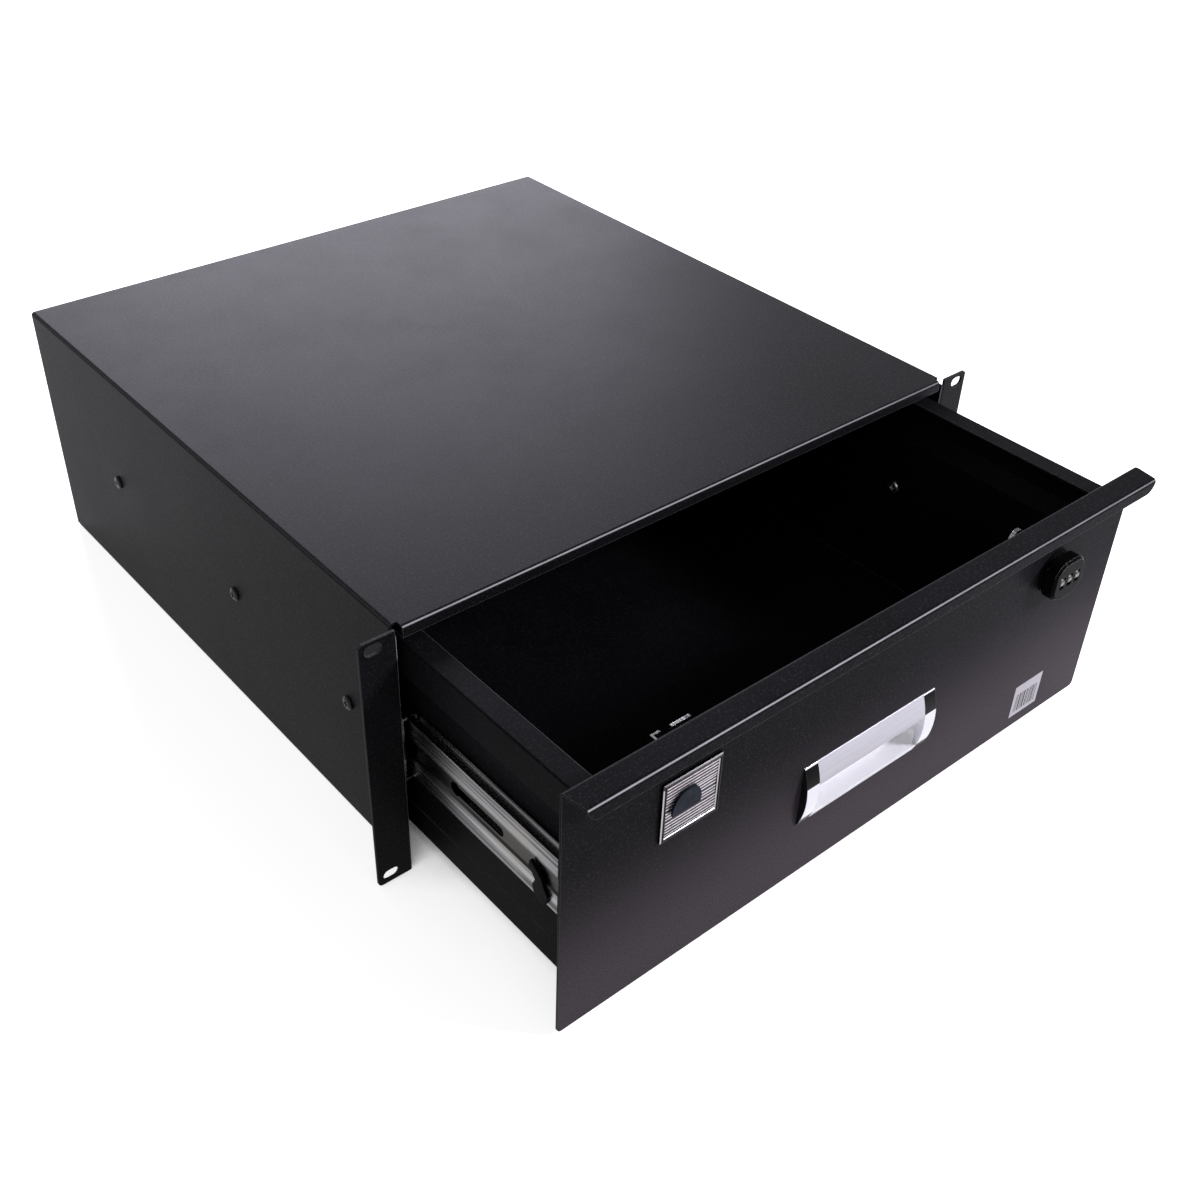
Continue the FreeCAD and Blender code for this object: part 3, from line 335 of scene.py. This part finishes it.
def make_floor():
    mesh = bpy.data.meshes.new("floor")
    level = cad_low.z - FLOOR_GAP
    corners = [(a * FLOOR_HALF, b * FLOOR_HALF, level) for a, b in ((-1, -1), (1, -1), (1, 1), (-1, 1))]
    mesh.from_pydata(corners, [], [(0, 1, 2, 3)])
    mesh.materials.append(floor_paint())
    linked("floor", mesh)


# Materials

def material(name, colour, rough, metal, normal, **values):
    """A principled shader with functions for its colour, roughness and normal."""
    made = bpy.data.materials.new(name)
    made.use_nodes = True
    nodes = Nodes(made.node_tree)
    shader = nodes.add("ShaderNodeBsdfPrincipled")
    output = nodes.add("ShaderNodeOutputMaterial")
    nodes.link(shader.outputs[0], output.inputs[0])
    nodes.link(colour(nodes), shader.inputs["Base Color"])
    nodes.link(rough(nodes), shader.inputs["Roughness"])
    nodes.link(normal(nodes), shader.inputs["Normal"])
    shader.inputs["Metallic"].default_value = metal
    for key, value in values.items():
        shader.inputs[key.replace("_", " ")].default_value = value
    return made


def powder(nodes, fold_highlights, speckle):
    """Black coat with light grains, painted light low on the panel that makes it lighter towards the bottom,
    edge wear together with painted edge highlights and, if asked for, painted highlights on the folds.
    """
    where = nodes.place()
    spot = nodes.axes(where)
    body = nodes.mix(nodes.step(nodes.noise(where, 9, 4, 0.6), 0.3, 0.7), COAT_DARK, COAT_LIGHT)
    grain = nodes.step(nodes.noise(where, 700, 2, 0.6), 0.5, 0.8)
    body = nodes.mix(nodes.times(grain, speckle), body, COAT_GRAIN)
    # Painted light on the front of the panel, lighter towards the bottom and darker under the lip.
    panel_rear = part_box("front_panel")[1].y
    front = nodes.step(spot[1], panel_rear + 0.0004, panel_rear)
    painted_low_light = nodes.times(front, nodes.step(spot[2], PAINTED_LIGHT_TOP, PAINTED_LIGHT_FULL))
    light_speckle = nodes.blend(nodes.step(nodes.noise(where, 1100, 2, 0.6), 0.35, 0.65), 0.62, 1.0)
    body = nodes.mix(nodes.times(painted_low_light, light_speckle), body, COAT_PAINTED_LIGHT)
    # Lighter edges, partly wear and partly painted highlight.
    wear_and_highlight = nodes.times(nodes.edges(0.0008, 0.70, 0.985), nodes.blend(nodes.noise(where, 160), 0.4, 1.1))
    body = nodes.mix(nodes.times(wear_and_highlight, 0.7, clamp=True), body, COAT_WEAR_AND_HIGHLIGHT)
    if not fold_highlights:
        return body
    facing = nodes.own_normal()
    across, along, upward = (nodes.size(facing[k]) for k in range(3))
    straight = nodes.larger(nodes.larger(across, along), upward)
    # Painted highlight on the rounded folds: brighter where they face the front, fading towards the right.
    highlight_fade = nodes.blend(nodes.step(spot[0], -0.1, 0.25), 1.0, 0.5)
    fold_highlight_amount = nodes.times(highlight_fade, nodes.blend(nodes.noise(where, 60), 0.6, 1.1))
    fold_highlight = nodes.mix(nodes.step(facing[1], -0.35, -0.6), FOLD_HIGHLIGHT_DIM, FOLD_HIGHLIGHT_BRIGHT)
    return nodes.mix(nodes.times(nodes.step(straight, 0.88, 0.76), fold_highlight_amount), body, fold_highlight)


def powder_rough(nodes):
    where = nodes.place()
    smudge = nodes.step(nodes.noise(where, 17, 5, 0.65), 0.35, 0.75)
    grain = nodes.noise(where, 500, 2)
    return nodes.math("ADD", nodes.blend(smudge, 0.41, 0.44), nodes.times(grain, 0.08))


def powder_normal(nodes):
    return nodes.bump(nodes.noise(nodes.place(), 700, 3, 0.6), 0.24, 0.0003, nodes.bevel(0.0005))


# The fourth argument turns on the painted highlights on the folds.
def coat(name, level, sheen, fold_highlights, speckle):
    return material(name, lambda nodes: powder(nodes, fold_highlights, speckle), powder_rough, 0.0, powder_normal,
                    Specular_IOR_Level=level, Specular_Tint=COAT_TINT, Sheen_Weight=sheen,
                    Sheen_Roughness=0.45)


def zinc_colour(nodes):
    """Drawn steel with stains and painted shade in the trough along its middle."""
    where = nodes.place()
    streak = nodes.noise(nodes.stretched(where, (1, 0.012, 1)), 300, 4, 0.7)
    base = nodes.mix(nodes.step(streak, 0.40, 0.64), ZINC_DARK, ZINC_BRIGHT)
    cloud = nodes.step(nodes.noise(where, 28, 4, 0.6), 0.45, 0.75)
    base = nodes.mix(nodes.times(cloud, 0.5), base, ZINC_STAIN)
    away = nodes.size(nodes.minus(nodes.axes(where)[2], TROUGH_MIDDLE))
    trough_shade = nodes.step(away, TROUGH_EDGE, TROUGH_FULL)
    return nodes.mix(nodes.times(trough_shade, 0.95), base, TROUGH_SHADE_COLOUR)


def zinc_streak(nodes, scale, detail, rough):
    return nodes.noise(nodes.stretched(nodes.place(), (1, 0.03, 1)), scale, detail, rough)


def zinc_rough(nodes):
    return nodes.blend(zinc_streak(nodes, 600, 4, 0.7), 0.20, 0.34)


def zinc_normal(nodes):
    return nodes.bump(zinc_streak(nodes, 700, 3, 0.6), 0.04, 0.0001, nodes.bevel(0.0004))


def mottled(low, high, scale, stretch=(1, 1, 1)):
    """A colour that drifts between two."""
    def colour(nodes):
        cloud = nodes.noise(nodes.stretched(nodes.place(), stretch), scale, 4, 0.65)
        return nodes.mix(nodes.step(cloud, 0.3, 0.7), low, high)
    return colour


def varied(low, high, scale=200, stretch=(1, 1, 1)):
    """A roughness that drifts between two."""
    def rough(nodes):
        cloud = nodes.noise(nodes.stretched(nodes.place(), stretch), scale, 4, 0.6)
        return nodes.blend(nodes.step(cloud, 0.3, 0.7), low, high)
    return rough


def grained(scale, strength, distance=0.0001, stretch=(1, 1, 1), edge=0.0003):
    """A fine bump with softened edges."""
    def normal(nodes):
        grain = nodes.noise(nodes.stretched(nodes.place(), stretch), scale, 3, 0.6)
        return nodes.bump(grain, strength, distance, nodes.bevel(edge))
    return normal


def cap_reflection_mask(nodes):
    """1 on the upper part of an end cap, where a dark reflection is painted, with its lower border cut
    square.
    """
    height = nodes.axes(nodes.place())[2]
    low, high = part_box("handle_cap_left")
    border = high.z - CAP_REFLECTION_SHARE * (high.z - low.z)
    lower = nodes.step(height, border - 0.0001, border + 0.0001)
    upper = nodes.step(height, high.z - 0.0008, high.z - 0.0010)
    front = nodes.step(nodes.size(nodes.axes(nodes.normal())[0]), 0.9, 0.8)
    return nodes.times(nodes.times(lower, upper), front)


def cap_colour(nodes):
    across = nodes.axes(nodes.place())[0]
    centre = (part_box("handle_cap_left")[0].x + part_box("handle_cap_right")[1].x) / 2
    side = nodes.math("SIGN", nodes.minus(across, centre))
    outward = nodes.times(nodes.axes(nodes.normal())[0], side)
    # Painted dark reflection on the outward faces, and on the upper part through the mask.
    bright = nodes.mix(nodes.step(outward, 0.8, 0.9), CAP_BRIGHT, CAP_OUTWARD_REFLECTION)
    return nodes.mix(cap_reflection_mask(nodes), bright, CAP_PAINTED_REFLECTION)


def rib_wave(nodes):
    """1 on the crests of the lock plate's ribs, -1 between them."""
    low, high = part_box("key_plate")
    from_plug = nodes.minus(nodes.axes(nodes.place())[2], (low.z + high.z) / 2)
    from_rib = nodes.minus(nodes.size(from_plug), FIRST_RIB)
    return nodes.math("COSINE", nodes.times(from_rib, 2 * math.pi / RIB_PITCH))


def rib_colour(nodes):
    grain = nodes.noise(nodes.place(), 700, 3, 0.7)
    # Painted light on the rib crests and painted shade between them.
    crest = nodes.step(rib_wave(nodes), -0.3, 0.8)
    return nodes.mix(nodes.times(crest, nodes.blend(grain, 0.1, 1.2), clamp=True), RIB_SHADE, RIB_LIT)


def rib_normal(nodes):
    return nodes.bump(rib_wave(nodes), 0.5, 0.00015)


def bezel_colour(nodes):
    """Dark slopes with a painted highlight line round the outside and one round the opening, dimmed along the
    top by painted shade under the lip.
    """
    where = nodes.place()
    spot = nodes.axes(where)
    low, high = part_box("key_bezel")
    middle = (low + high) / 2
    half = (high.x - low.x) / 2
    reach = nodes.larger(nodes.size(nodes.minus(spot[0], middle.x)),
                         nodes.size(nodes.minus(spot[2], middle.z)))
    outer = nodes.step(reach, half - 0.0007, half - 0.0004)
    inner = nodes.step(reach, half - 0.0020, half - 0.0023)
    front = nodes.step(nodes.axes(nodes.normal())[1], -0.2, -0.5)
    under_lip_shade = nodes.blend(nodes.step(spot[2], high.z - 0.0034, high.z - 0.0026), 1.0, 0.08)
    lines = nodes.times(nodes.times(nodes.larger(outer, inner), front), under_lip_shade)
    slope = nodes.mix(nodes.noise(where, 500, 3, 0.6), BEZEL_DARK, BEZEL_LIGHT)
    return nodes.mix(lines, slope, BEZEL_HIGHLIGHT)


def knob_colour(nodes):
    """Black with painted highlights on its upper edges."""
    where = nodes.place()
    low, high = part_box("combo_knob")
    body = nodes.mix(nodes.noise(where, 60), KNOB_DARK, KNOB_LIGHT)
    upper = nodes.step(nodes.axes(where)[2], (low.z + high.z) / 2 + 0.003, high.z - 0.002)
    return nodes.mix(nodes.times(upper, nodes.edges(0.0006, 0.75, 0.97)), body, KNOB_HIGHLIGHT)


COAT = coat("powder_coat", 0.028, 0.03, True, 0.5)
PANEL_COAT = coat("panel_coat", 0.013, 0.02, True, 0.5)
INNER_COAT = coat("inner_coat", 0.012, 0.01, False, 0.25)
ZINC = material("zinc_plate", zinc_colour, zinc_rough, 1.0, zinc_normal)
BALL = material("ball_steel", mottled((0.55, 0.55, 0.56), (0.85, 0.85, 0.86), 300),
                varied(0.12, 0.28), 1.0, grained(600, 0.05))
SCREW_BLACK = material("screw_black", mottled((0.003, 0.003, 0.003), (0.012, 0.012, 0.013), 500),
                       varied(0.22, 0.36), 0.0, grained(900, 0.08), Specular_IOR_Level=0.15)
SCREW_ZINC = material("screw_zinc", mottled((0.42, 0.41, 0.40), (0.75, 0.74, 0.72), 400),
                      varied(0.24, 0.42), 1.0, grained(700, 0.08))
PLASTIC = material("black_plastic", mottled((0.003, 0.003, 0.003), (0.009, 0.009, 0.010), 120),
                   varied(0.30, 0.42), 0.0, grained(1100, 0.10, 0.0002), Specular_IOR_Level=0.012)
GLOSS = material("gloss_plastic", knob_colour,
                 varied(0.10, 0.17), 0.0, grained(300, 0.03, 0.0002, edge=0.0008), Specular_IOR_Level=0.012)
DRAWN_ACROSS = (0.03, 1, 1)
HOOD = material("hood_satin", mottled((0.38, 0.37, 0.405), (0.43, 0.42, 0.455), 500, DRAWN_ACROSS),
                varied(0.37, 0.43, 700, DRAWN_ACROSS), 0.8, grained(900, 0.02, stretch=DRAWN_ACROSS))
CAP = material("cap_chrome", cap_colour,
               varied(0.08, 0.16, 90), 0.92, grained(300, 0.02), Specular_IOR_Level=0.05)
SCOOP = material("scoop_bright", mottled((0.95, 0.95, 0.965), (0.98, 0.98, 0.985), 80),
                 varied(0.28, 0.38), 0.25, grained(500, 0.04))
BEZEL = material("lock_bezel", bezel_colour,
                 varied(0.18, 0.30), 0.9, grained(600, 0.05, edge=0.0002), Specular_IOR_Level=0.05)
RIBBED = material("lock_plate", rib_colour, varied(0.28, 0.40), 0.9, rib_normal)
LEAF = material("lock_cover", mottled((0.001, 0.002, 0.003), (0.016, 0.022, 0.034), 130),
                varied(0.12, 0.20), 0.0, grained(500, 0.05), Specular_IOR_Level=0.03)
BRASS = material("plug_brass", mottled((0.45, 0.38, 0.25), (0.62, 0.54, 0.38), 200),
                 varied(0.25, 0.40), 1.0, grained(600, 0.08))
CAST = material("die_cast", mottled((0.42, 0.42, 0.43), (0.60, 0.60, 0.61), 160),
                varied(0.38, 0.55), 0.9, grained(500, 0.20, 0.0002))
DIAL = material("dial_black", mottled((0.006, 0.006, 0.006), (0.012, 0.012, 0.012), 300),
                varied(0.20, 0.32), 0.0, grained(700, 0.06))
DIGIT = material("digit_paint", mottled((0.62, 0.58, 0.42), (0.80, 0.77, 0.62), 900),
                 varied(0.45, 0.6), 0.0, grained(900, 0.10))
PAPER = material("label_paper", mottled((0.44, 0.42, 0.445), (0.50, 0.48, 0.505), 900),
                 varied(0.60, 0.75), 0.0, grained(1500, 0.15))
INK = material("label_ink", mottled((0.012, 0.012, 0.014), (0.03, 0.03, 0.035), 900),
               varied(0.5, 0.65), 0.0, grained(1500, 0.10))

FINISHES = (
    (COAT, "case_shell case_back"),
    (PANEL_COAT, "front_panel"),
    (INNER_COAT, "drawer_tray tray_front tray_back"),
    (HOOD, "handle_hood"),
    (CAP, "handle_cap_left handle_cap_right"),
    (SCOOP, "handle_scoop"),
    (BEZEL, "key_bezel"),
    (RIBBED, "key_plate"),
    (BRASS, "key_plug"),
    (LEAF, "key_cover"),
    (CAST, "key_housing"),
    (ZINC, "key_bolt key_bracket combo_nut combo_cam"),
    (ZINC, "slide_left_cabinet slide_left_middle slide_left_drawer"),
    (ZINC, "slide_right_cabinet slide_right_middle slide_right_drawer"),
    (BALL, "slide_left_outer_balls slide_left_inner_balls"),
    (BALL, "slide_right_outer_balls slide_right_inner_balls"),
    (PLASTIC, "combo_base slide_left_bumper slide_right_bumper"),
    (GLOSS, "combo_knob"),
    (DIAL, "combo_dial_1 combo_dial_2 combo_dial_3"),
    (PAPER, "front_label"),
    (SCREW_BLACK, "case_screws_left case_screws_right"),
    (SCREW_ZINC, "rail_screws_left rail_screws_right panel_screws key_housing_screws combo_cam_screw"),
)
FINISH = {name: finish for finish, names in FINISHES for name in names.split()}

for name, node in NODES.items():
    node.data.materials.clear()
    node.data.materials.append(FINISH[name])


# Pieces

def add_piece(name, mesh, body, slot_name, finish, *replaced):
    piece = linked(name, mesh)
    mesh.materials.clear()
    mesh.materials.append(finish)
    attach(piece, body)
    if replaced:
        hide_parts(*replaced)


def to_mesh(build, name):
    mesh = bpy.data.meshes.new(name)
    build.to_mesh(mesh)
    build.free()
    return mesh


def evaluated(holder):
    """The mesh that an object shows; the object is removed."""
    graph = bpy.context.evaluated_depsgraph_get()
    mesh = bpy.data.meshes.new_from_object(holder.evaluated_get(graph), depsgraph=graph)
    bpy.data.objects.remove(holder)
    return mesh


def cut_away(mesh, cutter_mesh):
    cutter = linked("cutter", cutter_mesh)
    holder = linked("work", mesh)
    modifier = holder.modifiers.new("cut", "BOOLEAN")
    modifier.object = cutter
    modifier.operation = "DIFFERENCE"
    modifier.solver = "EXACT"
    result = evaluated(holder)
    bpy.data.objects.remove(cutter)
    return result


def lathe(profile, steps):
    """A solid of revolution about Z from (radius, height) points that start and end on the axis."""
    build = bmesh.new()
    rings = []
    for radius, height in profile:
        if radius == 0:
            rings.append([build.verts.new((0, 0, height))])
            continue
        angles = [2 * math.pi * k / steps for k in range(steps)]
        rings.append([build.verts.new((radius * math.cos(a), radius * math.sin(a), height)) for a in angles])
    for low, high in zip(rings, rings[1:]):
        for k in range(steps):
            after = (k + 1) % steps
            corners = [low[k % len(low)], low[after % len(low)], high[after % len(high)], high[k % len(high)]]
            build.faces.new(list(dict.fromkeys(corners)))
    bmesh.ops.recalc_face_normals(build, faces=build.faces)
    return to_mesh(build, "lathe")


def slot_cutter(reach, width, top, depth, turn):
    """A tapered bar that cuts one arm of the recess of a screw head."""
    build = bmesh.new()
    spots = []
    for level, shrink in ((top, 1.0), (top - depth, 0.5)):
        for a, b in ((-1, -1), (1, -1), (1, 1), (-1, 1)):
            x, y = a * reach * shrink, b * width / 2
            spots.append(build.verts.new((x * math.cos(turn) - y * math.sin(turn),
                                          x * math.sin(turn) + y * math.cos(turn), level)))
    high, low = spots[:4], spots[4:]
    build.faces.new(high)
    build.faces.new(low)
    for k in range(4):
        build.faces.new((high[k], high[(k + 1) % 4], low[(k + 1) % 4], low[k]))
    bmesh.ops.recalc_face_normals(build, faces=build.faces)
    return to_mesh(build, "cutter")


def pan_screw(head_radius, head_height, shank_radius, length):
    """Pan head screw along Z, in millimetres, with its head above 0 and a cross recess."""
    round_off = 0.62 * head_height
    profile = [(0, -length), (shank_radius * 0.8, -length), (shank_radius, -length + 0.2 * shank_radius),
               (shank_radius, 0), (head_radius, 0), (head_radius, head_height - round_off)]
    for k in range(1, 7):
        angle = math.pi / 2 * k / 6
        profile.append((head_radius - 0.52 * head_radius * (1 - math.cos(angle)),
                        head_height - round_off + 0.93 * round_off * math.sin(angle)))
    profile.append((0, head_height))
    screw = lathe(profile, SCREW_STEPS)
    for turn in (0, math.pi / 2):
        screw = cut_away(screw, slot_cutter(head_radius * 0.60, head_radius * 0.24,
                                            head_height * 1.3, head_height * 0.95, turn))
    return screw


def split_solids(node, split_axes):
    """The points of each of a node's solids, told apart by the gaps between them."""
    groups = [[v.co.copy() for v in NODES[node].data.vertices]]
    for axis in split_axes:
        parts = []
        for group in groups:
            group.sort(key=lambda p: p[axis])
            current = [group[0]]
            for before, spot in zip(group, group[1:]):
                if spot[axis] - before[axis] > SCREW_APART:
                    parts.append(current)
                    current = []
                current.append(spot)
            parts.append(current)
        groups = parts
    return groups


def tip_radius(group, centre, facing, along, around, total):
    """The radius of a screw's shank, from the points of its far end."""
    close = 1e-4
    radii = []
    for p in group:
        radius = Vector([p[k] - centre[k] for k in around]).length
        beyond = (p[along] - centre[along]) * facing[along] + total / 2
        if abs(beyond) < close and radius > close:
            radii.append(radius)
    return min(radii, default=0.002)


def add_screws(node, facing, split_axes):
    """Domed screws in the places of the node's solids, heads toward the given direction."""
    along = max(range(3), key=lambda k: abs(facing[k]))
    around = [k for k in range(3) if k != along]
    turn = Vector(facing).to_track_quat("Z", "Y").to_matrix().to_4x4()
    build = bmesh.new()
    chance = random.Random(node)
    for group in split_solids(node, split_axes):
        low, high = Vector(map(min, zip(*group))), Vector(map(max, zip(*group)))
        centre = (low + high) / 2
        head_radius = (high[around[0]] - low[around[0]]) / 2
        total = high[along] - low[along]
        shank = tip_radius(group, centre, facing, along, around, total)
        screw = pan_screw(head_radius / MM, HEAD_HEIGHT / MM, shank / MM, (total - HEAD_HEIGHT) / MM)
        seat = centre.copy()
        seat[along] = (high[along] if facing[along] > 0 else low[along]) - facing[along] * HEAD_HEIGHT
        spin = Matrix.Rotation(chance.uniform(0, math.pi / 2), 4, "Z")
        screw.transform(Matrix.Translation(seat) @ turn @ spin @ Matrix.Scale(MM, 4))
        build.from_mesh(screw)
        bpy.data.meshes.remove(screw)
    mesh = to_mesh(build, node + "_domed")
    mesh.shade_smooth()
    mesh.set_sharp_from_angle(angle=SMOOTH_BELOW)
    body = next(name for name, members in BODIES.items() if node in members)
    slot_name = "black_screw" if FINISH[node] is SCREW_BLACK else "zinc_steel"
    add_piece(node + "_domed", mesh, body, slot_name, FINISH[node], node)


def text_mesh(text):
    curve = bpy.data.curves.new("text", "FONT")
    curve.body = text
    curve.size = DIGIT_SIZE
    curve.align_x = "CENTER"
    curve.align_y = "CENTER"
    curve.extrude = DIGIT_DEPTH
    curve.resolution_u = 3
    return evaluated(linked("text", curve))


def add_digits(count):
    """Numbers 0 to 9 round a dial, one on each facet."""
    low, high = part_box("combo_dial_%d" % count)
    centre = (low + high) / 2
    flat = DIAL_RADIUS * math.cos(math.pi / DIAL_STEPS)
    build = bmesh.new()
    for digit in range(DIAL_STEPS):
        angle = math.radians(360 / DIAL_STEPS * digit)
        normal = Vector((0, math.cos(angle), math.sin(angle)))
        upward = Vector((0, math.sin(angle), -math.cos(angle)))
        turn = Matrix((upward.cross(normal), upward, normal)).transposed().to_4x4()
        mesh = text_mesh(str((digit + 5 * count) % DIAL_STEPS))
        mesh.transform(Matrix.Translation(centre + normal * (flat + DIGIT_LIFT)) @ turn)
        build.from_mesh(mesh)
        bpy.data.meshes.remove(mesh)
    name = "combo_digits_%d" % count
    add_piece(name, to_mesh(build, name), "dial_%d" % count, "dial_metal", DIGIT)


def add_bars():
    """Plain upright bars printed on the paper label, inside its margins."""
    low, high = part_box("front_label")
    wide, tall = high.x - low.x, high.z - low.z
    right = high.x - 0.12 * wide
    bottom = low.z + 0.13 * tall
    top = low.z + 0.70 * tall
    front = low.y - BAR_LIFT
    chance = random.Random(4)
    build = bmesh.new()
    start = low.x + 0.12 * wide
    while start < right:
        end = min(start + chance.choice(BAR_WIDTHS), right)
        corners = ((start, front, bottom), (end, front, bottom), (end, front, top), (start, front, top))
        build.faces.new([build.verts.new(p) for p in corners])
        start = end + chance.choice(BAR_GAPS)
    add_piece("label_bars", to_mesh(build, "label_bars"), "drawer", "label_paper", INK)


make_camera()
make_world()
make_floor()
for lamp in LAMPS:
    make_lamp(*lamp)

SCREWS = (
    # node, direction of the heads, axes along which its screws are apart
    ("case_screws_left", (-1, 0, 0), (1,)),
    ("case_screws_right", (1, 0, 0), (1,)),
    ("rail_screws_left", (1, 0, 0), (1,)),
    ("rail_screws_right", (-1, 0, 0), (1,)),
    ("panel_screws", (0, 1, 0), (0, 2)),
    ("key_housing_screws", (0, 1, 0), (0,)),
    ("combo_cam_screw", (0, 1, 0), ()),
)
for row in SCREWS:
    add_screws(*row)
for count in (1, 2, 3):
    add_digits(count)
add_bars()
